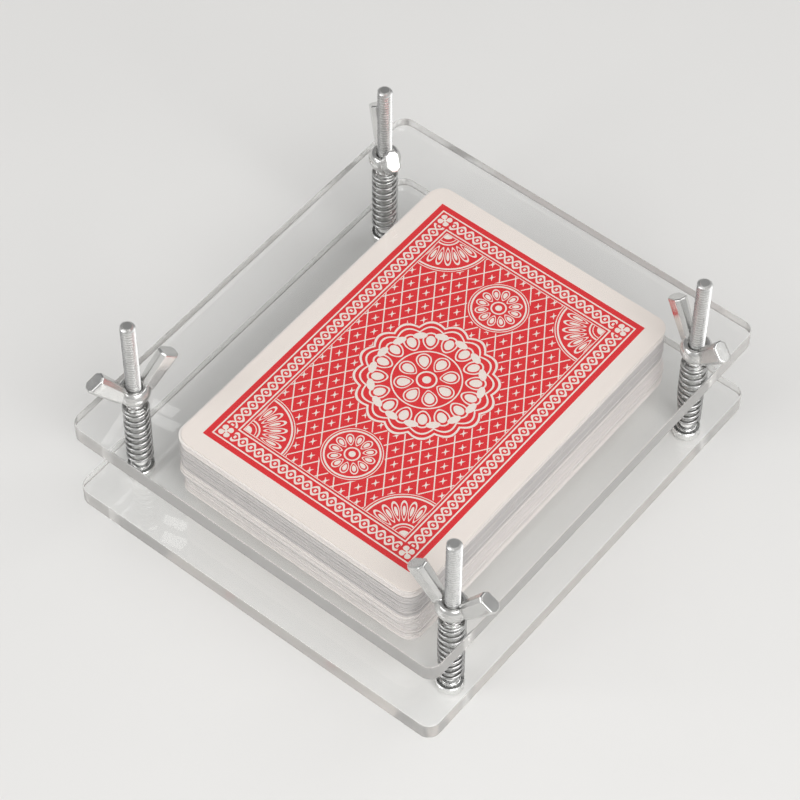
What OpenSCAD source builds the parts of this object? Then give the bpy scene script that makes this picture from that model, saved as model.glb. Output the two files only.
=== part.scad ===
// Playing card press: two clear plates, four sprung screws with wing nuts, and the deck held between them.
// Millimetres. +Z is up, the screw heads stand on z = 0 and the press is centred on the Z axis.

/* [Cards] */
// Width of a card
card_w = 63.5; // [57:0.1:70]
// Length of a card
card_l = 88.9; // [80:0.1:100]
// Corner radius of a card
card_r = 3.5; // [2:0.1:6]
// Thickness of a card
card_t = 0.28; // [0.25:0.01:0.4]
// Air over each card in the loosely held deck
card_air = 0.053; // [0.03:0.001:0.15]
// Cards in the lower and the upper packet of the deck; the middle one has one more
packet_cards = 17; // [12:1:18]
// How far a card strays from the middle of the stack
card_stray = 0.25; // [0:0.05:0.5]
// Deck's place across the press, from its middle
deck_x = 1; // [-2:0.1:2]
// Deck's place along the press, from its middle
deck_y = 1.7; // [-5:0.1:5]

/* [Plates] */
// Thickness of a plate
plate_t = 4.5; // [3:0.1:8]
// Corner radius of a plate
plate_r = 3; // [1:0.5:6]
// Free width between the deck's long side and a spring
side_gap = 7.6; // [5:0.1:15]
// From a screw's axis to the plate's long edge
screw_inset_x = 6.05; // [5.5:0.05:15]
// From the deck's end to the plate's short edge
end_margin = 11; // [8:0.05:20]
// From a screw's axis to the plate's short edge
screw_inset_y = 13.9; // [5.5:0.05:25]
// Radial play of a screw in its plate holes
hole_play = 0.25; // [0.1:0.05:0.5]

/* [Screws] */
// Thread diameter
thread_d = 3.35; // [3:0.05:3.9]
// Length under the head
screw_len = 50.8; // [46:0.1:60]
// Head diameter
head_d = 6.2; // [5.8:0.1:8]
// Head height
head_h = 2.4; // [2:0.1:4]
// Chamfer round the head's lower edge
head_chamfer = 0.6; // [0.2:0.1:0.8]
// Length of an arm-to-arm slot of the cross recess
recess_l = 2.8; // [2:0.1:3.4]
// Width of a slot of the cross recess
recess_w = 0.8; // [0.5:0.1:1.2]
// Depth of the cross recess
recess_h = 1.2; // [0.5:0.1:1.6]
// Chamfer at the screw's upper end
tip_chamfer = 0.5; // [0.2:0.1:0.9]

/* [Springs] */
// Wire diameter
wire_d = 0.7; // [0.5:0.1:0.9]
// Turns of wire
spring_turns = 10; // [6:1:11]
// Radial play between a spring and its screw
spring_play = 0.575; // [0.3:0.025:0.6]
// Gap between a spring's end and its plate
spring_seat = 0.05; // [0.02:0.01:0.2]
// Turns that lie flat at each end
spring_flat = 0.3; // [0:0.05:0.3]

/* [Wing nuts] */
// Boss diameter on the plate
boss_base_d = 6; // [5.4:0.1:6.6]
// Boss diameter where it is widest
boss_d = 6.9; // [6.6:0.1:8]
// Boss diameter at the top
boss_top_d = 5.6; // [5.2:0.1:6.4]
// Height of the boss's widest place over the plate
boss_wide_h = 1.7; // [1:0.1:2.4]
// Boss height
boss_h = 3.7; // [3.2:0.1:5]
// From the axis to the middle of a wing's end face
wing_reach = 8.6; // [7.6:0.1:9.6]
// Height of the middle of a wing's end face over the plate
wing_rise = 10.2; // [9.6:0.1:11.4]
// Slope of a wing from level, in degrees
wing_slope = 54; // [45:1:65]
// Width of a wing's end face
wing_w = 4.8; // [4:0.1:6]
// Thickness of a wing's end face
wing_t = 3.2; // [2:0.1:4]
// Width of a wing where it leaves the boss
wing_root_w = 4; // [3:0.1:5]
// Thickness of a wing where it leaves the boss
wing_root_t = 2.7; // [1.5:0.1:3.5]
// Length of a wing
wing_l = 10; // [9.3:0.1:10.6]
// Radial play of a nut on its thread
thread_play = 0.05; // [0.02:0.01:0.1]
// Radial room between the wings and the thread over the boss
wing_clear = 0.5; // [0.3:0.1:1]
// Turn of the front left, front right, back right and back left nuts, in degrees
nut_turns = [68, 6, 159, 141];

/* [Hidden] */
$fn = 64;

// Rounding of the wings and of the springs' wire
hull_fn = 32;
wing_rounding = 0.3;
wire_sides = 6;
rings_per_turn = 8;
skin = 0.1;
cut = 1;

// Fits
hole_d = thread_d + 2 * hole_play;
nut_bore = thread_d + 2 * thread_play;
spring_mean_d = thread_d + 2 * spring_play + wire_d;
spring_od = spring_mean_d + wire_d;

// Places
card_pitch = card_t + card_air;
card_count = 3 * packet_cards + 3;
deck_h = card_count * card_pitch;
pitch_x = card_w + 2 * side_gap + spring_od;
plate_w = pitch_x + 2 * screw_inset_x;
plate_l = card_l + 2 * end_margin;
pitch_y = plate_l - 2 * screw_inset_y;
lower_z = head_h;
deck_z = lower_z + plate_t;
upper_z = deck_z + deck_h;
nut_z = upper_z + plate_t;
spring_h = deck_h - 2 * spring_seat - wire_d;

// Screw places, from the front left corner round to the back left
corners = [
    [-pitch_x / 2, -pitch_y / 2],
    [pitch_x / 2, -pitch_y / 2],
    [pitch_x / 2, pitch_y / 2],
    [-pitch_x / 2, pitch_y / 2]
];

// Spring wire: its middle line, and the directions of a ring of points round it
function flat_to_flat(u) = max(0, min(1, (u - spring_flat) / (spring_turns - 2 * spring_flat)));
function wire_point(u) = [
    spring_mean_d / 2 * cos(360 * u),
    spring_mean_d / 2 * sin(360 * u),
    wire_d / 2 + spring_h * flat_to_flat(u)
];
function outward(u) = [cos(360 * u), sin(360 * u), 0];
function along(u) = [-sin(360 * u), cos(360 * u), 0];
ring_count = spring_turns * rings_per_turn;
wire_line = [for (i = [0 : ring_count]) wire_point(i / rings_per_turn)];

// Least gap between the turns of one spring, between points at least half a turn apart
spring_gap = min([
    for (i = [0 : ring_count])
        for (j = [i + rings_per_turn / 2 : 1 : ring_count])
            norm(wire_line[i] - wire_line[j])
]) - wire_d;
echo(spring_gap = spring_gap);

// A rectangle with round corners, centred
module round_rectangle(w, l, r) {
    square([w - 2 * r, l], center = true);
    square([w, l - 2 * r], center = true);
    for (x = [-1, 1])
        for (y = [-1, 1])
            translate([x * (w / 2 - r), y * (l / 2 - r)])
                circle(r);
}

module plate(z) {
    translate([0, 0, z])
        difference() {
            linear_extrude(plate_t)
                round_rectangle(plate_w, plate_l, plate_r);
            for (c = corners)
                translate([c.x, c.y, -cut])
                    cylinder(d = hole_d, h = plate_t + 2 * cut);
        }
}

module lower_plate() {
    color([0.86, 0.93, 0.95, 0.4])
        plate(lower_z);
}

module upper_plate() {
    color([0.86, 0.93, 0.95, 0.4])
        plate(upper_z);
}

module screw(c) {
    color("gainsboro")
        translate([c.x, c.y, 0])
            difference() {
                union() {
                    cylinder(d1 = head_d - 2 * head_chamfer, d2 = head_d, h = head_chamfer);
                    translate([0, 0, head_chamfer])
                        cylinder(d = head_d, h = head_h - head_chamfer);
                    translate([0, 0, head_h])
                        cylinder(d = thread_d, h = screw_len - tip_chamfer);
                    translate([0, 0, head_h + screw_len - tip_chamfer])
                        cylinder(d1 = thread_d, d2 = thread_d - 2 * tip_chamfer, h = tip_chamfer);
                }
                for (a = [0, 90])
                    rotate(a)
                        translate([-recess_l / 2, -recess_w / 2, -cut])
                            cube([recess_l, recess_w, recess_h + cut]);
            }
}

// Compression spring as one tube: a straight run of one wire diameter at each end of the helix
module spring(c) {
    stations = concat(
        [wire_line[0] - wire_d * along(0)],
        wire_line,
        [wire_line[ring_count] + wire_d * along(spring_turns)]
    );
    last = len(stations) - 1;
    turn_at = [for (i = [0 : last]) max(0, min(ring_count, i - 1)) / rings_per_turn];
    points = [
        for (i = [0 : last])
            for (k = [0 : wire_sides - 1])
                let (a = 360 * k / wire_sides)
                    stations[i] + wire_d / 2 * (cos(a) * outward(turn_at[i]) + sin(a) * [0, 0, 1])
    ];
    sides = [
        for (i = [0 : last - 1])
            for (k = [0 : wire_sides - 1])
                let (
                    a = i * wire_sides + k,
                    b = i * wire_sides + (k + 1) % wire_sides
                )
                    each [[a, b, b + wire_sides], [a, b + wire_sides, a + wire_sides]]
    ];
    ends = [
        for (k = [1 : wire_sides - 2])
            each [
                [0, k + 1, k],
                [last * wire_sides, last * wire_sides + k, last * wire_sides + k + 1]
            ]
    ];
    color("silver")
        translate([c.x, c.y, deck_z + spring_seat])
            polyhedron(points, concat(sides, ends));
}

// A thin slice across a wing, at a distance back along it from the middle of its end face
module wing_section(back, w, t) {
    translate([wing_reach - back * cos(wing_slope), 0, wing_rise - back * sin(wing_slope)])
        rotate([0, 90 - wing_slope, 0])
            translate([0, 0, -skin])
                linear_extrude(skin)
                    round_rectangle(w, t, wing_rounding * t, $fn = hull_fn);
}

module wing() {
    hull() {
        wing_section(0, wing_w, wing_t);
        wing_section(wing_l, wing_root_w, wing_root_t);
    }
}

module wing_nut(c, turn) {
    color("gainsboro")
        translate([c.x, c.y, nut_z])
            rotate(turn)
                difference() {
                    union() {
                        cylinder(d1 = boss_base_d, d2 = boss_d, h = boss_wide_h);
                        translate([0, 0, boss_wide_h])
                            cylinder(d1 = boss_d, d2 = boss_top_d, h = boss_h - boss_wide_h);
                        for (a = [0, 180])
                            rotate(a)
                                wing();
                    }
                    translate([0, 0, -cut])
                        cylinder(d = nut_bore, h = boss_h + 2 * cut);
                    translate([0, 0, boss_h])
                        cylinder(d = thread_d + 2 * wing_clear, h = wing_rise + wing_w);
                }
}

// Cards from one number to another, counted from the bottom of the deck, each a little out of line
module cards(first, last) {
    color("ivory")
        for (i = [first : last])
            translate([
                deck_x + card_stray * sin(137 * i),
                deck_y + card_stray * cos(101 * i),
                deck_z + i * card_pitch
            ])
                linear_extrude(card_t)
                    round_rectangle(card_w, card_l, card_r);
}

lower_plate();
upper_plate();
screw(corners[0]);  // screw_front_left
screw(corners[1]);  // screw_front_right
screw(corners[2]);  // screw_back_right
screw(corners[3]);  // screw_back_left
spring(corners[0]);  // spring_front_left
spring(corners[1]);  // spring_front_right
spring(corners[2]);  // spring_back_right
spring(corners[3]);  // spring_back_left
wing_nut(corners[0], nut_turns[0]);  // wing_nut_front_left
wing_nut(corners[1], nut_turns[1]);  // wing_nut_front_right
wing_nut(corners[2], nut_turns[2]);  // wing_nut_back_right
wing_nut(corners[3], nut_turns[3]);  // wing_nut_back_left
cards(0, 0);  // bottom_card
cards(1, packet_cards);  // lower_packet
cards(packet_cards + 1, 2 * packet_cards + 1);  // middle_packet
cards(2 * packet_cards + 2, card_count - 2);  // upper_packet
cards(card_count - 1, card_count - 1);  // top_card
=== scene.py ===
import math

import bmesh
import bpy
from mathutils import Matrix, Vector


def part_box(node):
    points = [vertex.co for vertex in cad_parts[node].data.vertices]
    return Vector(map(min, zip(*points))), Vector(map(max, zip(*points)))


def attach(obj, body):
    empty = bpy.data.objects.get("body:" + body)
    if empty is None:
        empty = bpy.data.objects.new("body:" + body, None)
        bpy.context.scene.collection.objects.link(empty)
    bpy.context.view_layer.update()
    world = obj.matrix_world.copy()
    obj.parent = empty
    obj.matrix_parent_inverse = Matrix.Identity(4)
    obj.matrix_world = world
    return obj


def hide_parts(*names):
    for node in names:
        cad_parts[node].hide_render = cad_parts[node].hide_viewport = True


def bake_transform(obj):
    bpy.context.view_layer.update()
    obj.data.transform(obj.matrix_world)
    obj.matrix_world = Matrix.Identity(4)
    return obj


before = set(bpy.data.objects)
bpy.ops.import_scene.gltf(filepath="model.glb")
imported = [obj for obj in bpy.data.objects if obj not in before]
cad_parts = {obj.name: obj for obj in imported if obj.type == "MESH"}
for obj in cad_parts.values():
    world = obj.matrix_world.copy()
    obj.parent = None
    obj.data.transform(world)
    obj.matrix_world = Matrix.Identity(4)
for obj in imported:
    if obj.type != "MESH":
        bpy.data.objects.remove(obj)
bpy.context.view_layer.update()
print("frame loaded:", len(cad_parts), "nodes")

mm = 0.001
weldWithin, cutWithin = 1e-6, 1e-7
cornerNames = ("front_left", "front_right", "back_right", "back_left")


# one socket of a material's node tree, so that shader maths reads as plain expressions
class Signal:
    def __init__(self, finish, socket):
        self.finish = finish
        self.socket = socket

    def math(self, operation, *others):
        values = dict(enumerate((self,) + others))
        return self.finish.node("Math", {"operation": operation}, values)

    def flipped(self, operation, other):
        return self.finish.node("Math", {"operation": operation}, {0: other, 1: self})

    def __add__(self, other):
        return self.math("ADD", other)

    __radd__ = __add__

    def __sub__(self, other):
        return self.math("SUBTRACT", other)

    def __rsub__(self, other):
        return self.flipped("SUBTRACT", other)

    def __mul__(self, other):
        return self.math("MULTIPLY", other)

    __rmul__ = __mul__

    def __truediv__(self, other):
        return self.math("DIVIDE", other)

    def __rtruediv__(self, other):
        return self.flipped("DIVIDE", other)

    def __pow__(self, other):
        return self.math("POWER", other)

    def __lt__(self, other):
        return self.math("LESS_THAN", other)

    def __gt__(self, other):
        return self.math("GREATER_THAN", other)

    def __abs__(self):
        return self.math("ABSOLUTE")

    def __and__(self, other):
        return self.math("MINIMUM", other)

    def __or__(self, other):
        return self.math("MAXIMUM", other)


# a material, or the world, and the one method that adds its nodes
class Finish:
    def __init__(self, name, home=bpy.data.materials):
        self.material = home.new(name)
        self.material.use_nodes = True
        self.tree = self.material.node_tree
        self.tree.nodes.clear()

    def node(self, kind, settings=None, sockets=None, out=0):
        made = self.tree.nodes.new("ShaderNode" + kind)
        for key, value in (settings or {}).items():
            setattr(made, key, value)
        for key, value in (sockets or {}).items():
            if isinstance(value, Signal):
                self.tree.links.new(value.socket, made.inputs[key])
            else:
                made.inputs[key].default_value = value
        if isinstance(out, tuple):
            return [Signal(self, made.outputs[name]) for name in out]
        return Signal(self, made.outputs[out]) if made.outputs else made

    # where a point of the piece lies, in millimetres from centre
    def place(self, centre=(0, 0, 0)):
        at = self.node("TexCoord", None, None, "Object")
        shift = tuple(-c / mm for c in centre)
        return self.node("Mapping", None, {"Vector": at, "Location": shift, "Scale": (1 / mm,) * 3})

    def axes(self, where):
        return self.node("SeparateXYZ", None, {0: where}, ("X", "Y", "Z"))

    def noise(self, where, scale, detail, stretch=None):
        if stretch:
            where = self.node("Mapping", None, {"Vector": where, "Scale": stretch})
        return self.node("TexNoise", None, {"Vector": where, "Scale": scale, "Detail": detail})

    def blend(self, share, first, second):
        return self.node("Mix", {"data_type": "RGBA"}, {0: share, 6: first, 7: second}, 2)

    def bump(self, height, distance, strength):
        return self.node("Bump", None, {"Height": height, "Distance": distance * mm, "Strength": strength})

    def close(self, shader, output="OutputMaterial"):
        self.node(output, None, {"Surface": shader})
        return self.material


def dimmed(colour, share):
    return tuple(c * share for c in colour[:3]) + (1,)


def finishedMesh(name, bm, materials):
    mesh = bpy.data.meshes.new(name)
    bm.to_mesh(mesh)
    bm.free()
    for material in materials:
        mesh.materials.append(material)
    return mesh


def linked(name, mesh):
    piece = bpy.data.objects.new(name, mesh)
    bpy.context.collection.objects.link(piece)
    return piece


def makePiece(name, bm, materials):
    return linked(name, finishedMesh(name, bm, materials))


def smoothTo(mesh, degrees):
    mesh.shade_smooth()
    mesh.set_sharp_from_angle(angle=math.radians(degrees))


# the piece's mesh with its modifiers applied; the piece itself goes
def applied(piece):
    graph = bpy.context.evaluated_depsgraph_get()
    mesh = bpy.data.meshes.new_from_object(piece.evaluated_get(graph))
    bpy.data.objects.remove(piece)
    return mesh


def placedCopy(name, mesh, matrix):
    copy = mesh.copy()
    copy.transform(matrix)
    return linked(name, copy)


def standsFor(piece, node, body):
    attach(piece, body)
    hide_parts(node)


# a chain of points, radius and height in millimetres, from the Z axis and back to it, turned round it
def lathe(bm, points, steps):
    verts = [bm.verts.new((r * mm, 0, z * mm)) for r, z in points]
    edges = [bm.edges.new(pair) for pair in zip(verts, verts[1:])]
    bmesh.ops.spin(
        bm, geom=verts + edges, cent=(0, 0, 0), axis=(0, 0, 1), dvec=(0, 0, 0),
        angle=math.tau, steps=steps, use_merge=True,
    )
    bmesh.ops.remove_doubles(bm, verts=bm.verts[:], dist=weldWithin)
    bmesh.ops.recalc_face_normals(bm, faces=bm.faces[:])


def roundedOutline(bm, width, length, radius, segments):
    corners = bmesh.ops.create_grid(bm, x_segments=1, y_segments=1, size=0.5)["verts"]
    bmesh.ops.scale(bm, vec=(width, length, 1), verts=corners)
    bmesh.ops.bevel(
        bm, geom=corners, offset=radius, offset_type="OFFSET", affect="VERTICES",
        segments=segments, profile=0.5, material=-1,
    )


def vertsOf(grown):
    return [v for v in grown["geom"] if isinstance(v, bmesh.types.BMVert)]


def boxOf(node):
    low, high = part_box(node)
    return Vector(low), Vector(high)


def screwPlace(corner):
    low, high = boxOf("screw_" + corner)
    return (low + high) / 2


# plates

acrylic = dict(
    tint=(0.99, 0.992, 0.99, 1), ior=1.49, lampTint=(0.978, 0.98, 0.978, 1), clearness=1.0, rough=0.004,
    edgeTint=(0.93, 0.91, 0.885, 1), edgeClearness=0.62, edgeRough=0.12,
    haze=0.02, smearScale=0.05, smearFrom=0.45,
    scratchScale=2.5, scratchStretch=(0.04, 3.0, 0.4), scratchFrom=0.72,
    sawScale=1.0, sawStretch=(2.2, 2.2, 0.06), sawDepth=0.02, sawStrength=0.5,
    corner=3 * mm, cornerSegments=12, hole=1.925 * mm, holeSegments=40, drilledZone=1.5,
    edgeBreak=0.3 * mm, breakSegments=2, rimAngle=70, levelNormal=0.9, flatWeight=90,
)


def acrylicFinish(name, tint, clearness, rough, sawn):
    a = acrylic
    f = Finish(name)
    at = f.place()
    smear = f.noise(at, a["smearScale"], 3)
    scratch = f.noise(at, a["scratchScale"], 2, a["scratchStretch"])
    haze = (smear - a["smearFrom"]) * a["haze"] + (scratch > a["scratchFrom"]) * a["haze"]
    sockets = {
        "Base Color": tint, "Roughness": (haze + rough) | a["rough"], "IOR": a["ior"],
        "Transmission Weight": clearness,
    }
    if sawn:
        lines = f.noise(at, a["sawScale"], 3, a["sawStretch"])
        sockets["Normal"] = f.bump(lines, a["sawDepth"], a["sawStrength"])
    clear = f.node("BsdfPrincipled", None, sockets)
    # lamps and light thrown back by the floor pass straight through
    passing = f.node("BsdfTransparent", None, {"Color": a["lampTint"]})
    shadow, scattered = f.node("LightPath", None, None, ("Is Shadow Ray", "Is Diffuse Ray"))
    lampSide = f.node("MixShader", None, {0: shadow, 1: clear, 2: passing})
    return f.close(f.node("MixShader", None, {0: scattered, 1: lampSide, 2: passing}))


plateFace = acrylicFinish("clearAcrylic", acrylic["tint"], acrylic["clearness"], acrylic["rough"], False)
plateEdge = acrylicFinish(
    "sawnAcrylicEdge", acrylic["edgeTint"], acrylic["edgeClearness"], acrylic["edgeRough"], True
)


def buildPlate(name, node, body):
    a = acrylic
    low, high = boxOf(node)
    size, middle = high - low, (high + low) / 2
    holes = [screwPlace(corner).xy - middle.xy for corner in cornerNames]
    bm = bmesh.new()
    roundedOutline(bm, size.x, size.y, a["corner"], a["cornerSegments"])
    bmesh.ops.delete(bm, geom=bm.faces[:], context="FACES_ONLY")
    for hole in holes:
        spot = Matrix.Translation((hole.x, hole.y, 0))
        bmesh.ops.create_circle(bm, cap_ends=False, radius=a["hole"], segments=a["holeSegments"], matrix=spot)
    bmesh.ops.triangle_fill(bm, use_beauty=True, edges=bm.edges[:])
    grown = bmesh.ops.extrude_face_region(bm, geom=bm.faces[:])
    bmesh.ops.translate(bm, vec=(0, 0, size.z), verts=vertsOf(grown))
    bmesh.ops.recalc_face_normals(bm, faces=bm.faces[:])
    rimAngle = math.radians(a["rimAngle"])
    rims = [e for e in bm.edges if e.is_manifold and e.calc_face_angle(0) > rimAngle]
    bmesh.ops.bevel(
        bm, geom=rims, offset=a["edgeBreak"], offset_type="OFFSET", affect="EDGES",
        segments=a["breakSegments"], profile=0.5, material=-1,
    )
    for face in bm.faces:
        at = face.calc_center_median().xy
        drilled = any((at - hole).length < a["drilledZone"] * a["hole"] for hole in holes)
        face.material_index = 0 if drilled or abs(face.normal.z) > a["levelNormal"] else 1
    bmesh.ops.translate(bm, vec=(middle.x, middle.y, low.z), verts=bm.verts[:])
    plate = makePiece(name, bm, (plateFace, plateEdge))
    plate.data.shade_smooth()
    plate.modifiers.new("flatFaces", "WEIGHTED_NORMAL").weight = a["flatWeight"]
    standsFor(plate, node, body)


buildPlate("lowerPlate", "lower_plate", "base")
buildPlate("upperPlate", "upper_plate", "pressure_plate")
lowerTop = boxOf("lower_plate")[1].z
upperFoot, upperTop = (end.z for end in boxOf("upper_plate"))
print("plates made")


# zinc plating and drawn wire

# where a crest is given, painted shade darkens what lies inside it: a thread's roots and the inside of a coil
metals = dict(
    screwZinc=dict(
        pale=(0.95, 0.95, 0.94, 1), dark=(0.83, 0.83, 0.825, 1), rough=0.26, spread=0.16, grain=0.012,
        crest=1.66, recessShadeShare=0.5,
    ),
    nutZinc=dict(pale=(0.8, 0.795, 0.78, 1), dark=(0.6, 0.6, 0.595, 1), rough=0.22, spread=0.18, grain=0.008),
    springWire=dict(
        pale=(0.68, 0.68, 0.675, 1), dark=(0.44, 0.44, 0.445, 1), rough=0.19, spread=0.14, grain=0.008,
        drawn=(1, 1, 0.3), crest=2.95, recessShadeShare=0.88,
    ),
)
wearAndShade = dict(
    cloudScale=0.35, cloudShare=0.6, speckleScale=3.0, bumpStrength=0.6,
    # painted shade in thread roots and coil insides: its colour, the depth over which it comes in, and extra
    # roughness
    recessShadeColour=(0.2, 0.195, 0.185, 1), recessShadeDepth=0.42, dulling=0.18,
)


def metalFinish(name, pale, dark, rough, spread, grain, drawn=None, crest=0, recessShadeShare=0):
    f = Finish(name)
    at = f.place()
    cloud = f.noise(at, wearAndShade["cloudScale"], 4)
    speckle = f.noise(at, wearAndShade["speckleScale"], 3, drawn)
    base = f.blend(cloud, dark, pale)
    roughness = (speckle - 0.5) * spread + (cloud - 0.5) * spread * wearAndShade["cloudShare"] + rough
    if crest:
        # painted shade: a thread's root and the inside of a coil are painted darker than the crest, and are
        # rougher
        x, y = f.axes(at)[:2]
        axis = screwPlace("back_right") / mm
        fromX, fromY = abs(x) - axis.x, abs(y) - axis.y
        fromAxis = (fromX * fromX + fromY * fromY) ** 0.5
        # painted shade grows from the crest inwards and darkens the colour there
        sunk = ((crest - fromAxis) / wearAndShade["recessShadeDepth"] & 1) | 0
        base = f.blend(sunk * recessShadeShare, base, wearAndShade["recessShadeColour"])
        roughness = roughness + sunk * wearAndShade["dulling"]
    shader = f.node("BsdfPrincipled", None, {
        "Base Color": base, "Metallic": 1.0, "Roughness": roughness,
        "Normal": f.bump(speckle, grain, wearAndShade["bumpStrength"]),
    })
    return f.close(shader)


screwZinc, nutZinc, springWire = (metalFinish(name, **look) for name, look in metals.items())


# screws

screwShape = dict(
    headRadius=3.1, headHeight=2.4, headBreak=0.2, headSteps=40,
    headEdge=((0.6, 0), (0.3, 0.1), (0.1, 0.3), (0, 0.65)),  # how far in from the radius, and height
    recess=(2.8, 0.8, 1.2),  # length and width of an arm, and depth
    recessTurns=(2, 92),  # a little off the lathe's own edges, so that no sliver is left
    rootRadius=1.2, crestRadius=1.66, pitch=0.794, stepsPerTurn=22,
    flank=0.37, flat=0.08,  # half widths of the thread's foot and crest, as shares of the pitch
    buried=0.1, threadFrom=3.0, threadStop=0.3, tipChamfer=0.5, tipTaper=(0.2, 0.35), tipGap=0.02,
    smoothing=32,
)


def buildScrewCore(top):
    s = screwShape
    radius, height, root = s["headRadius"], s["headHeight"], s["rootRadius"]
    taperIn, taperDown = s["tipTaper"]
    bm = bmesh.new()
    lathe(bm, [
        (0, 0), *((radius - inset, z) for inset, z in s["headEdge"]),
        (radius, height - s["headBreak"]), (radius - s["headBreak"], height),
        (root, height), (root, top - taperDown), (root - taperIn, top), (0, top),
    ], s["headSteps"])
    core = makePiece("screwCore", bm, (screwZinc,))
    cross = bmesh.new()
    long, wide, deep = s["recess"]
    for turn in s["recessTurns"]:
        arm = bmesh.ops.create_cube(cross, size=1)["verts"]
        bmesh.ops.scale(cross, vec=(long * mm, wide * mm, 2 * deep * mm), verts=arm)
        bmesh.ops.rotate(cross, cent=(0, 0, 0), matrix=Matrix.Rotation(math.radians(turn), 3, "Z"), verts=arm)
    cutter = makePiece("crossCutter", cross, ())
    sunk = core.modifiers.new("recess", "BOOLEAN")
    sunk.operation, sunk.object, sunk.solver = "DIFFERENCE", cutter, "EXACT"
    sunk.use_self = True
    mesh = applied(core)
    bpy.data.objects.remove(cutter)
    return mesh


def windThread(top):
    s = screwShape
    pitch, crest, foot = s["pitch"], s["crestRadius"], s["rootRadius"] - s["buried"]
    bm = bmesh.new()
    profile = [(foot, -s["flank"]), (crest, -s["flat"]), (crest, s["flat"]), (foot, s["flank"])]
    verts = [bm.verts.new((r * mm, 0, (s["threadFrom"] + z * pitch) * mm)) for r, z in profile]
    start = bm.faces.new(verts)
    turns = (top - s["threadStop"] - s["threadFrom"]) / pitch
    steps = round(turns * s["stepsPerTurn"])
    bmesh.ops.spin(
        bm, geom=verts + list(start.edges), cent=(0, 0, 0), axis=(0, 0, 1), angle=math.tau * turns,
        steps=steps, dvec=(0, 0, turns * pitch / steps * mm),
    )
    bmesh.ops.holes_fill(bm, edges=[e for e in bm.edges if e.is_boundary], sides=len(profile))
    shoulder = top - s["tipChamfer"]
    for v in bm.verts:
        allowed = crest - max(0, v.co.z / mm - shoulder)
        reach = v.co.xy.length / mm
        if reach > allowed:
            v.co.xy *= allowed / reach
        v.co.z = min(v.co.z, top * mm - s["tipGap"] * mm)
    bmesh.ops.recalc_face_normals(bm, faces=bm.faces[:])
    return bm


def buildScrewMesh(top):
    mesh = buildScrewCore(top)
    bm = windThread(top)
    bm.from_mesh(mesh)
    bm.to_mesh(mesh)
    bm.free()
    smoothTo(mesh, screwShape["smoothing"])
    return mesh


screwMesh = buildScrewMesh(boxOf("screw_front_left")[1].z / mm)
for corner in cornerNames:
    at = screwPlace(corner)
    screw = placedCopy("screw." + corner, screwMesh, Matrix.Translation((at.x, at.y, 0)))
    standsFor(screw, "screw_" + corner, "base")
print("screws made:", len(screwMesh.polygons), "faces each")


# springs

springShape = dict(
    wire=0.7, meanRadius=2.6, endTurns=0.8, endRise=0.6, workingTurns=8.4, seat=0.05,
    wireSides=12, stepsPerTurn=28, smoothing=50,
)


def buildSpringMesh(height):
    s = springShape
    bm = bmesh.new()
    side = Matrix.Translation((s["meanRadius"] * mm, 0, (s["seat"] + s["wire"] / 2) * mm))
    upright = side @ Matrix.Rotation(math.radians(90), 4, "X")
    ring = bmesh.ops.create_circle(
        bm, cap_ends=False, radius=s["wire"] / 2 * mm, segments=s["wireSides"], matrix=upright
    )["verts"]
    ring = ring + bm.edges[:]
    rise = height - 2 * s["seat"] - s["wire"]
    stretches = (
        (s["endTurns"], s["endRise"]),
        (s["workingTurns"], rise - 2 * s["endRise"]),
        (s["endTurns"], s["endRise"]),
    )
    for turns, climb in stretches:
        steps = round(turns * s["stepsPerTurn"])
        made = bmesh.ops.spin(
            bm, geom=ring, cent=(0, 0, 0), axis=(0, 0, 1), angle=math.tau * turns, steps=steps,
            dvec=(0, 0, climb / steps * mm),
        )
        ring = made["geom_last"]
    bmesh.ops.holes_fill(bm, edges=[e for e in bm.edges if e.is_boundary], sides=s["wireSides"])
    bmesh.ops.recalc_face_normals(bm, faces=bm.faces[:])
    mesh = finishedMesh("springWound", bm, (springWire,))
    smoothTo(mesh, s["smoothing"])
    return mesh


# sets each ring of the wire to one height between the lower plate's top and the upper plate's foot, and
# returns the wound places
def flattenWire(mesh):
    sides = springShape["wireSides"]
    wound = [vertex.co.copy() for vertex in mesh.vertices]
    heights = [sum(place.z for place in wound[at:at + sides]) / sides for at in range(0, len(wound), sides)]
    low, high = heights[0], heights[-1]
    for number, vertex in enumerate(mesh.vertices):
        share = min(1, max(0, (heights[number // sides] - low) / (high - low)))
        eased = 0.5 - math.sin(math.asin(1 - 2 * share) / 3)  # undoes blend's easing
        vertex.co.z = lowerTop + (upperFoot - lowerTop) * eased
    return wound


springMesh = buildSpringMesh((upperFoot - lowerTop) / mm)
for corner in cornerNames:
    at = screwPlace(corner)
    spring = placedCopy("spring." + corner, springMesh, Matrix.Translation((at.x, at.y, lowerTop)))
    wound = flattenWire(spring.data)
    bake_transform(spring)
    for vertex, place in zip(spring.data.vertices, wound):
        vertex.co = place
    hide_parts("spring_" + corner)
print("springs made:", len(springMesh.polygons), "faces each")


# wing nuts

nutShape = dict(
    boss=(
        (2.95, 0), (3.1, 0.12), (3.4, 0.8), (3.58, 1.5), (3.6, 1.8), (3.5, 2.4), (3.24, 3.05),
        (2.88, 3.55), (2.65, 3.7),
    ),
    bossHeight=3.7, steps=48, reach=8.6, rise=10.2, slope=54, wingLength=10, endWide=4.8, endThick=3.2,
    rootWide=4.0, rootThick=2.7, facet=0.75, endFacet=0.3, turns=(68, 6, 159, 141),
    bore=1.7, footChamfer=0.2, entry=2.2, entryDepth=0.45, clearance=2.25, drillBelow=1,
    voxel=0.1, polish=3, polishShare=0.5, weld=0.004, smoothing=40,
)


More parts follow.
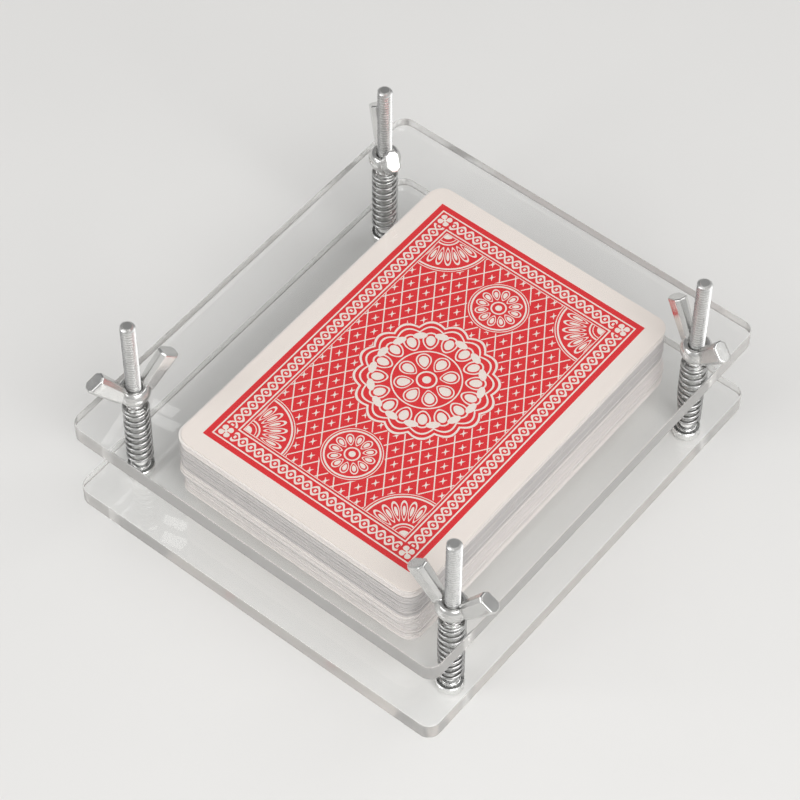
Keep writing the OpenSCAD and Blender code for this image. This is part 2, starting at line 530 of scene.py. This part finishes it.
def addWing(bm, facing):
    n = nutShape
    slope = math.radians(n["slope"])
    along = Vector((math.cos(slope), 0, math.sin(slope)))
    tip = Vector((n["reach"], 0, n["rise"]))
    tilt = Matrix.Rotation(math.radians(90 - n["slope"]), 4, "Y")
    root = Matrix.Translation(tip - along * n["wingLength"]) @ tilt
    before = set(bm.verts)
    roundedOutline(bm, n["rootWide"], n["rootThick"], n["facet"], 1)
    made = [v for v in bm.verts if v not in before]
    face = [f for f in bm.faces if set(f.verts) <= set(made)][0]
    bmesh.ops.transform(bm, matrix=root, verts=made)
    far = vertsOf(bmesh.ops.extrude_face_region(bm, geom=[face], use_keep_orig=True))
    bmesh.ops.translate(bm, vec=along * n["wingLength"], verts=far)
    square = (Matrix.Translation(tip) @ tilt).inverted()
    spread = (n["endWide"] / n["rootWide"], n["endThick"] / n["rootThick"], 1)
    bmesh.ops.scale(bm, vec=spread, space=square, verts=far)
    rim = [e for e in bm.edges if e.verts[0] in far and e.verts[1] in far]
    bmesh.ops.bevel(
        bm, geom=rim, offset=n["endFacet"], offset_type="OFFSET", affect="EDGES",
        segments=1, profile=0.5, material=-1,
    )
    wing = [v for v in bm.verts if v not in before]
    bmesh.ops.rotate(bm, cent=(0, 0, 0), matrix=Matrix.Rotation(math.radians(facing), 3, "Z"), verts=wing)
    bmesh.ops.scale(bm, vec=(mm, mm, mm), verts=wing)


def buildNutMesh():
    n = nutShape
    bm = bmesh.new()
    lathe(bm, [(0, 0), *n["boss"], (0, n["bossHeight"])], n["steps"])
    addWing(bm, 0)
    addWing(bm, 180)
    bmesh.ops.recalc_face_normals(bm, faces=bm.faces[:])
    forged = makePiece("nutForging", bm, (nutZinc,))
    skin = forged.modifiers.new("forge", "REMESH")
    skin.mode, skin.voxel_size, skin.use_smooth_shade = "VOXEL", n["voxel"] * mm, True
    polish = forged.modifiers.new("tumble", "SMOOTH")
    polish.factor, polish.iterations = n["polishShare"], n["polish"]
    hole = bmesh.new()
    foot, over = n["bore"] + n["footChamfer"], n["rise"] + n["endWide"]
    lathe(hole, [
        (0, -n["drillBelow"]), (foot + n["drillBelow"], -n["drillBelow"]), (foot, 0),
        (n["bore"], n["footChamfer"]), (n["bore"], n["bossHeight"] - n["entryDepth"]),
        (n["entry"], n["bossHeight"]), (n["clearance"], over), (0, over),
    ], n["steps"])
    drill = makePiece("nutDrill", hole, (nutZinc,))
    cut = forged.modifiers.new("bore", "BOOLEAN")
    cut.operation, cut.object, cut.solver = "DIFFERENCE", drill, "EXACT"
    mesh = applied(forged)
    bpy.data.objects.remove(drill)
    # the cut leaves slivers along its rims
    clean = bmesh.new()
    clean.from_mesh(mesh)
    bmesh.ops.remove_doubles(clean, verts=clean.verts[:], dist=n["weld"] * mm)
    bmesh.ops.triangulate(clean, faces=clean.faces[:])
    bmesh.ops.dissolve_degenerate(clean, edges=clean.edges[:], dist=n["weld"] * mm)
    clean.to_mesh(mesh)
    clean.free()
    smoothTo(mesh, n["smoothing"])
    return mesh


nutMesh = buildNutMesh()
for corner, turn in zip(cornerNames, nutShape["turns"]):
    at = screwPlace(corner)
    move = Matrix.Translation((at.x, at.y, upperTop)) @ Matrix.Rotation(math.radians(turn), 4, "Z")
    nut = placedCopy("wingNut." + corner, nutMesh, move)
    standsFor(nut, "wing_nut_" + corner, "nut_" + corner)
print("wing nuts made:", len(nutMesh.polygons), "faces each")


# cards

cardStockLook = dict(
    stock=(0.86, 0.78, 0.73, 1), cut=(0.86, 0.81, 0.785, 1), shade=(0.36, 0.35, 0.36, 1),
    fibreScale=2.2, fibreShade=(0.72, 0.46), patchScale=0.08, patchShade=(0.95, 0.1),
    cutRough=(0.55, 0.2), fibreDepth=0.02, fibreStrength=0.4,
)
printLook = dict(
    red=(0.76, 0.012, 0.02, 1), redDeep=(0.64, 0.008, 0.013, 1), white=(0.85, 0.76, 0.7, 1),
    toothScale=2.2, washScale=0.12, toothShare=0.6, cover=(0.9, 0.16), stockDim=0.97, depth=0.02,
    rough=(0.46, 0.12), gloss=0.3, weave=18, weaveDepth=0.006, weaveStrength=0.35,
)


def cardEdgeFinish():
    c = cardStockLook
    f = Finish("cardStock")
    at = f.place()
    # tone darkens each card's side towards the shade colour, card 47 as painted shadow
    tone = f.node("Attribute", {"attribute_name": "tone"}, None, "Fac")
    fibre = f.noise(at, c["fibreScale"], 4)
    patch = f.noise(at, c["patchScale"], 2)
    (fibreBase, fibreGain), (patchBase, patchGain) = c["fibreShade"], c["patchShade"]
    shade = tone * (fibreBase + fibre * fibreGain) * (patchBase + patch * patchGain)
    smooth, coarse = c["cutRough"]
    shader = f.node("BsdfPrincipled", None, {
        "Base Color": f.blend(shade, c["shade"], c["cut"]), "Roughness": smooth + fibre * coarse,
        "Normal": f.bump(fibre, c["fibreDepth"], c["fibreStrength"]),
    })
    return f.close(shader)


# sizes of the printed back in millimetres: petals are count, middle, half width and edge, rings are radius
# and half width, and hollow is where a petal is left red
backArt = dict(
    halfWide=27.6, halfLong=40.22, frameLines=((1.5, 0.17), (5.35, 0.17), (6.05, 0.09)),
    band=(1.75, 5.15), block=5.3, lane=3.45, braidPitch=4.34, braidSwing=1.05, strand=0.3,
    eye=(0.86, 0.36), knot=(4, 0.9, 0.85, 0.25), knotDot=0.32,
    trellis=(4.2, 6.1), trellisLine=0.462, flower=(0.0035, 0.055), flowerDot=0.004, fieldFrom=6.2,
    lobes=(8, 1.3, 13.4), medalRim=(-0.55, 0.22), halo=(0.75, 0.28), medalRoom=1.2,
    outer=(16, 10.4, 2.6, 0.22), outerHollow=(0.24, 0.5), leaf=(16, 11.9, 1.2, 0.5),
    star=(8, 4.9, 2.5, 0.25), starHollow=(0.2, 0.42), medalRings=((7.55, 0.16), (2.1, 0.2)), medalDot=0.95,
    rosetteAt=24.8, rosette=(12, 3.7, 1.7, 0.2), rosetteHollow=(0.3, 0.58), rosetteDot=0.75,
    rosetteRings=((1.6, 0.17), (5.9, 0.2), (6.5, 0.1)), rosetteRoom=6.9,
    fanAt=(21.1, 34.05), fan=(24, 6.2, 2.9, 0.2), fanHollow=(0.32, 0.62), fanDot=1.3,
    fanRings=((2.9, 0.18), (2.2, 0.1), (9.7, 0.2), (10.3, 0.1)), fanRoom=10.7,
)


def polar(x, y):
    return (x * x + y * y) ** 0.5, y.math("ARCTAN2", x)


def ringed(distance, radius, half):
    return abs(distance - radius) < half


def petals(radius, angle, count, middle, half, edge):
    swell = abs((angle * (count / 2)).math("SINE"))
    return swell - ((radius - middle) / half) ** 2 - edge


def hollowed(shape, low, high):
    return (shape > 0) & ((shape < low) | (shape > high))


# a braided frame, a trellis, rosettes towards the ends, fans in the corners and a lobed medallion
def backDesign(x, y, inside, fromSide, fromEnd):
    b = backArt
    ax, ay = abs(x), abs(y)

    # braid between fine lines, with a knot in each corner
    run = (fromSide < fromEnd) * (y - x) + x
    beat = (run * (math.tau / b["braidPitch"])).math("COSINE")
    wave = beat * b["braidSwing"]
    lane = inside - b["lane"]
    eyeFrom, eyeHalf = b["eye"]
    eye = (beat ** 2 > eyeFrom) & (abs(lane) < eyeHalf)
    braid = (abs(lane - wave) < b["strand"]) | (abs(lane + wave) < b["strand"]) | eye
    block = (fromSide < b["block"]) & (fromEnd < b["block"])
    radius, angle = polar(ax - (b["halfWide"] - b["lane"]), ay - (b["halfLong"] - b["lane"]))
    knot = (petals(radius, angle, *b["knot"]) > 0) | (radius < b["knotDot"])
    bandFrom, bandTo = b["band"]
    band = (inside > bandFrom) & (inside < bandTo)
    art = band * ((1 - block) * braid + block * knot)
    for line in b["frameLines"]:
        art = art | ringed(inside, *line)

    # trellis with a small flower in each diamond
    wide, long = b["trellis"]
    u, v = x / wide + y / long, x / wide - y / long
    fu, fv = ((share + 100).math("FRACT") - 0.5 for share in (u, v))  # 100 keeps both over zero
    bars = (abs(fu) > b["trellisLine"]) | (abs(fv) > b["trellisLine"])
    spot = fu * fu + fv * fv
    arm, reach = b["flower"]
    trellis = bars | ((abs(fu * fv) < arm) & (spot < reach)) | (spot < b["flowerDot"])

    # lobed medallion in the middle
    radius, angle = polar(x, y)
    lobeCount, lobeSwell, lobeRadius = b["lobes"]
    lobes = abs((angle * lobeCount).math("SINE")) * lobeSwell + lobeRadius
    inMedal = radius < lobes
    outer = petals(radius, angle, *b["outer"])
    leaf = petals(radius, angle + math.pi / b["leaf"][0], *b["leaf"])
    star = petals(radius, angle + math.pi / b["star"][0], *b["star"])
    medal = hollowed(outer, *b["outerHollow"]) | (leaf > 0) | hollowed(star, *b["starHollow"])
    for circle in b["medalRings"]:
        medal = medal | ringed(radius, *circle)
    medal = medal | (radius < b["medalDot"]) | ringed(radius - lobes, *b["medalRim"])
    halo = ringed(radius - lobes, *b["halo"])
    roundMedal = radius < lobes + b["medalRoom"]

    def flowerHead(radius, angle, name):
        made = hollowed(petals(radius, angle, *b[name]), *b[name + "Hollow"]) | (radius < b[name + "Dot"])
        for circle in b[name + "Rings"]:
            made = made | ringed(radius, *circle)
        return made, radius < b[name + "Room"]

    fanX, fanY = b["fanAt"]
    rosette, inRosette = flowerHead(*polar(x, ay - b["rosetteAt"]), "rosette")
    fan, inFan = flowerHead(*polar(ax - fanX, ay - fanY), "fan")

    bare = (1 - inMedal) * (1 - (inRosette | inFan)) * (1 - roundMedal)
    inner = bare * trellis | (inMedal * medal) | halo
    inner = inner | (inRosette * (1 - inMedal) * rosette) | (inFan * fan)
    return art | ((inside > b["fieldFrom"]) * inner)


def cardBackFinish(centre):
    p = printLook
    f = Finish("printedBack")
    at = f.place(centre)
    x, y, z = f.axes(at)
    fromSide, fromEnd = backArt["halfWide"] - abs(x), backArt["halfLong"] - abs(y)
    inside = fromSide & fromEnd
    art = backDesign(x, y, inside, fromSide, fromEnd)
    tooth = f.noise(at, p["toothScale"], 3)
    wash = f.noise(at, p["washScale"], 2)
    depth = tooth * p["toothShare"] + wash * (1 - p["toothShare"])
    ink = f.blend(depth, p["redDeep"], p["red"])
    thin, thick = p["cover"]
    design = f.blend(art * (thin + tooth * thick), ink, p["white"])
    stock = cardStockLook["stock"]
    paper = f.blend(wash, dimmed(stock, p["stockDim"]), stock)
    onBack = (inside > 0) & (z > -p["depth"])
    weave = (x * p["weave"]).math("SINE") * (y * p["weave"]).math("SINE")
    smooth, coarse = p["rough"]
    shader = f.node("BsdfPrincipled", None, {
        "Base Color": f.blend(onBack, paper, design), "Roughness": smooth + tooth * coarse,
        "Normal": f.bump(weave, p["weaveDepth"], p["weaveStrength"]), "Specular IOR Level": p["gloss"],
    })
    return f.close(shader)


# face of the lowest card: nine plain diamonds, seen from under the press
pips = dict(
    halfWide=4.6, halfLong=5.9, bow=0.86, across=14, along=(30, 10), depth=0.03,
    fibreScale=1.6, stockDim=0.93, fibreDepth=0.01, fibreStrength=0.3,
)


def cardFaceFinish(centre):
    p = pips
    f = Finish("pipFace")
    at = f.place(centre)
    x, y, z = f.axes(at)
    ax, ay = abs(x), abs(y)

    def diamond(px, py):
        return (abs(px) / p["halfWide"]) ** p["bow"] + (abs(py) / p["halfLong"]) ** p["bow"] < 1

    shown = diamond(x, y)
    for row in p["along"]:
        shown = shown | diamond(ax - p["across"], ay - row)
    fibre = f.noise(at, p["fibreScale"], 4)
    stock = cardStockLook["stock"]
    paper = f.blend(fibre, dimmed(stock, p["stockDim"]), stock)
    smooth, coarse = printLook["rough"]
    shader = f.node("BsdfPrincipled", None, {
        "Base Color": f.blend(shown * (z < p["depth"]), paper, printLook["red"]),
        "Roughness": smooth + fibre * coarse,
        "Normal": f.bump(fibre, p["fibreDepth"], p["fibreStrength"]),
    })
    return f.close(shader)


cardStock = cardEdgeFinish()
bottomLow, bottomHigh = boxOf("bottom_card")
bottomMiddle = (bottomLow + bottomHigh) / 2
cardFace = cardFaceFinish((bottomMiddle.x, bottomMiddle.y, bottomLow.z))
topLow, topHigh = boxOf("top_card")
topMiddle = (topLow + topHigh) / 2
cardBack = cardBackFinish((topMiddle.x, topMiddle.y, topHigh.z))

deck = dict(
    width=63.5, length=88.9, corner=3.5, thick=0.28, pitch=0.333, count=54, packet=17, x=1.0, y=1.7,
    stray=0.25, strayTurns=(137, 101), cornerSegments=7, smoothing=30,
    cutsX=(-21, -10, 0, 10, 21), cutsY=(-36, -27, -18, -9, 0, 9, 18, 27, 36),
    sag=0.05, sagLong=(21, 0.7), sagWide=(15, -0.9), sagWideShare=0.7,  # height, length and start of waves
    ripple=0.004, rippleLong=(9, 1.9), rippleWide=(7, 2.6), rippleWideShare=0.9,  # starts step card by card
    shifts=((18, 0.4, 0.3), (22, -0.25, -0.2), (53, 0, 0)),  # up to card number, how far the cards strayed
    # card tones by card number; card 47 is painted dark as the shadow under the top cards
    tonesAndShade=((3, 1.0), (22, 0.76), (25, 0.94), (46, 0.5), (47, 0.25), (53, 1.0)),  # up to card number, shade
    toneWobble=((0.05, 2.3), (0.04, 5.1)),
)


# height of a card over its even place: the middle of the deck sags and every card has its own ripple
def cardWave(number, x, y):
    d = deck

    def swell(along, wave, step=1):
        length, start = wave
        return math.sin(along / length + step * start)

    held = math.sin(math.pi * number / (d["count"] - 1))
    sag = swell(y, d["sagLong"]) + d["sagWideShare"] * swell(x, d["sagWide"])
    ripple = swell(y, d["rippleLong"], number) + d["rippleWideShare"] * swell(x, d["rippleWide"], number)
    return held * (d["sag"] * sag + d["ripple"] * ripple)


def cardPlace(number):
    d = deck
    turnX, turnY = d["strayTurns"]
    strayX = d["stray"] * math.sin(math.radians(turnX * number))
    strayY = d["stray"] * math.cos(math.radians(turnY * number))
    shiftX, shiftY = next(shift for upTo, *shift in d["shifts"] if number <= upTo)
    placeX, placeY = d["x"] + strayX + shiftX, d["y"] + strayY + shiftY
    return placeX * mm, placeY * mm, lowerTop + number * d["pitch"] * mm


# each card's tone from the table, with card 47 painted dark as shadow
def cardTone(number):
    tone = next(shade for upTo, shade in deck["tonesAndShade"] if number <= upTo)
    wobble = sum(share * math.sin(number * step) for share, step in deck["toneWobble"])
    return min(1, tone + wobble)


def addCard(bm, number, toneLayer):
    d = deck
    before = set(bm.verts)
    roundedOutline(bm, d["width"] * mm, d["length"] * mm, d["corner"] * mm, d["cornerSegments"])
    for spots, facing in ((d["cutsX"], (1, 0, 0)), (d["cutsY"], (0, 1, 0))):
        for spot in spots:
            fresh = [v for v in bm.verts if v not in before]
            edges = {e for v in fresh for e in v.link_edges}
            faces = {f for v in fresh for f in v.link_faces}
            bmesh.ops.bisect_plane(
                bm, geom=fresh + list(edges) + list(faces), plane_co=tuple(spot * mm * c for c in facing),
                plane_no=facing, dist=cutWithin,
            )
    face = [f for f in bm.faces if f.verts[0] not in before]
    grown = bmesh.ops.extrude_face_region(bm, geom=face)
    bmesh.ops.translate(bm, vec=(0, 0, d["thick"] * mm), verts=vertsOf(grown))
    verts = [v for v in bm.verts if v not in before]
    for v in verts:
        v.co.z += cardWave(number, v.co.x / mm, v.co.y / mm) * mm
    bmesh.ops.translate(bm, vec=cardPlace(number), verts=verts)
    tone = cardTone(number)
    for face in bm.faces:
        if face.verts[0] not in before:
            face[toneLayer] = tone


def buildCards(name, node, first, last, finish):
    bm = bmesh.new()
    toneLayer = bm.faces.layers.float.new("tone")
    for number in range(first, last + 1):
        addCard(bm, number, toneLayer)
    bmesh.ops.recalc_face_normals(bm, faces=bm.faces[:])
    cards = makePiece(name, bm, (finish,))
    smoothTo(cards.data, deck["smoothing"])
    standsFor(cards, node, "deck")


packet = deck["packet"]
last = deck["count"] - 1
buildCards("bottomCard", "bottom_card", 0, 0, cardFace)
buildCards("lowerPacket", "lower_packet", 1, packet, cardStock)
buildCards("middlePacket", "middle_packet", packet + 1, 2 * packet + 1, cardStock)
buildCards("upperPacket", "upper_packet", 2 * packet + 2, last - 1, cardStock)
buildCards("topCard", "top_card", last, last, cardBack)
print("cards made:", last + 1)


# floor, light and camera

studio = dict(
    floor=(0.76, 0.752, 0.74, 1), floorDim=0.97, floorGrain=0.02, floorRough=0.8, floorSize=6.0,
    fade=(230, 700),  # distances in mm between which the floor runs into the room
    roomDim=(0.19, 0.19, 0.195, 1), roomPale=(0.62, 0.62, 0.61, 1), roomFacing=(0.6, -0.5, 0.62),
    roomWrap=0.3, horizon=0.42,
    lamps=(  # place and size in metres, power in watts
        ("keyPanel", (0.75, -0.3, 0.75), 0.75, 7.5),
        ("fillPanel", (-0.45, -0.8, 0.62), 0.65, 3.6),
        ("topPanel", (0.35, 0.65, 1.0), 0.6, 1.9),
    ),
)
cameraView = dict(
    place=(0.2425, -0.31084, 0.54859), azimuth=38.465, elevation=53.261, roll=0.475,
    lens=139.54, sensor=36, clipStart=0.01,
)


def makeFloor():
    s = studio
    bm = bmesh.new()
    bmesh.ops.create_grid(bm, x_segments=1, y_segments=1, size=s["floorSize"] / 2)
    f = Finish("paleFloor")
    at = f.place()
    grain = f.noise(at, s["floorGrain"], 3)
    tint = f.blend(grain, dimmed(s["floor"], s["floorDim"]), s["floor"])
    near = f.node("BsdfPrincipled", None, {"Base Color": tint, "Roughness": s["floorRough"]})
    # far from the object the floor runs into the pale room, for what is seen or mirrored
    length = f.node("VectorMath", {"operation": "LENGTH"}, {0: at}, "Value")
    fadeFrom, fadeTo = s["fade"]
    away = ((length - fadeFrom) / (fadeTo - fadeFrom) & 1) | 0
    seen, mirrored, through = f.node(
        "LightPath", None, None, ("Is Camera Ray", "Is Glossy Ray", "Is Transmission Ray")
    )
    far = f.node("Emission", None, {"Color": s["roomPale"], "Strength": 1.0})
    shader = f.node("MixShader", None, {0: away * (seen | mirrored | through), 1: near, 2: far})
    floor = makePiece("floor", bm, (f.close(shader),))


def lightStudio():
    s = studio
    for name, place, size, power in s["lamps"]:
        lamp = bpy.data.lights.new(name, "AREA")
        lamp.shape, lamp.size, lamp.energy = "SQUARE", size, power
        panel = bpy.data.objects.new(name, lamp)
        panel.location = place
        panel.rotation_euler = (-Vector(place)).to_track_quat("-Z", "Y").to_euler()
        bpy.context.collection.objects.link(panel)
    room = Finish("paleRoom", bpy.data.worlds)
    way = room.node("TexCoord", None, None, "Generated")
    facing = {0: way, 1: s["roomFacing"]}
    lit = room.node("VectorMath", {"operation": "DOT_PRODUCT"}, facing, "Value")
    lightSide = (lit + s["roomWrap"]) / (1 + s["roomWrap"]) & 1
    level = (1 - abs(room.axes(way)[2]) / s["horizon"]) ** 0.5
    shade = room.blend(lightSide | level | 0, s["roomDim"], s["roomPale"])
    backdrop = room.node("Background", None, {"Color": shade, "Strength": 1.0})
    bpy.context.scene.world = room.close(backdrop, "OutputWorld")


def aimCamera():
    c = cameraView
    around, up = math.radians(c["azimuth"]), math.radians(c["elevation"])
    back = Vector((math.sin(around) * math.cos(up), -math.cos(around) * math.cos(up), math.sin(up)))
    lens = bpy.data.cameras.new("photoView")
    lens.lens, lens.sensor_width, lens.clip_start = c["lens"], c["sensor"], c["clipStart"]
    camera = bpy.data.objects.new("photoView", lens)
    level = (-back).to_track_quat("-Z", "Y").to_matrix()
    camera.rotation_euler = (level @ Matrix.Rotation(math.radians(c["roll"]), 3, "Z")).to_euler()
    camera.location = c["place"]
    bpy.context.collection.objects.link(camera)
    bpy.context.scene.camera = camera


makeFloor()
lightStudio()
aimCamera()
bpy.context.scene.view_settings.view_transform = "Standard"
print("studio made")
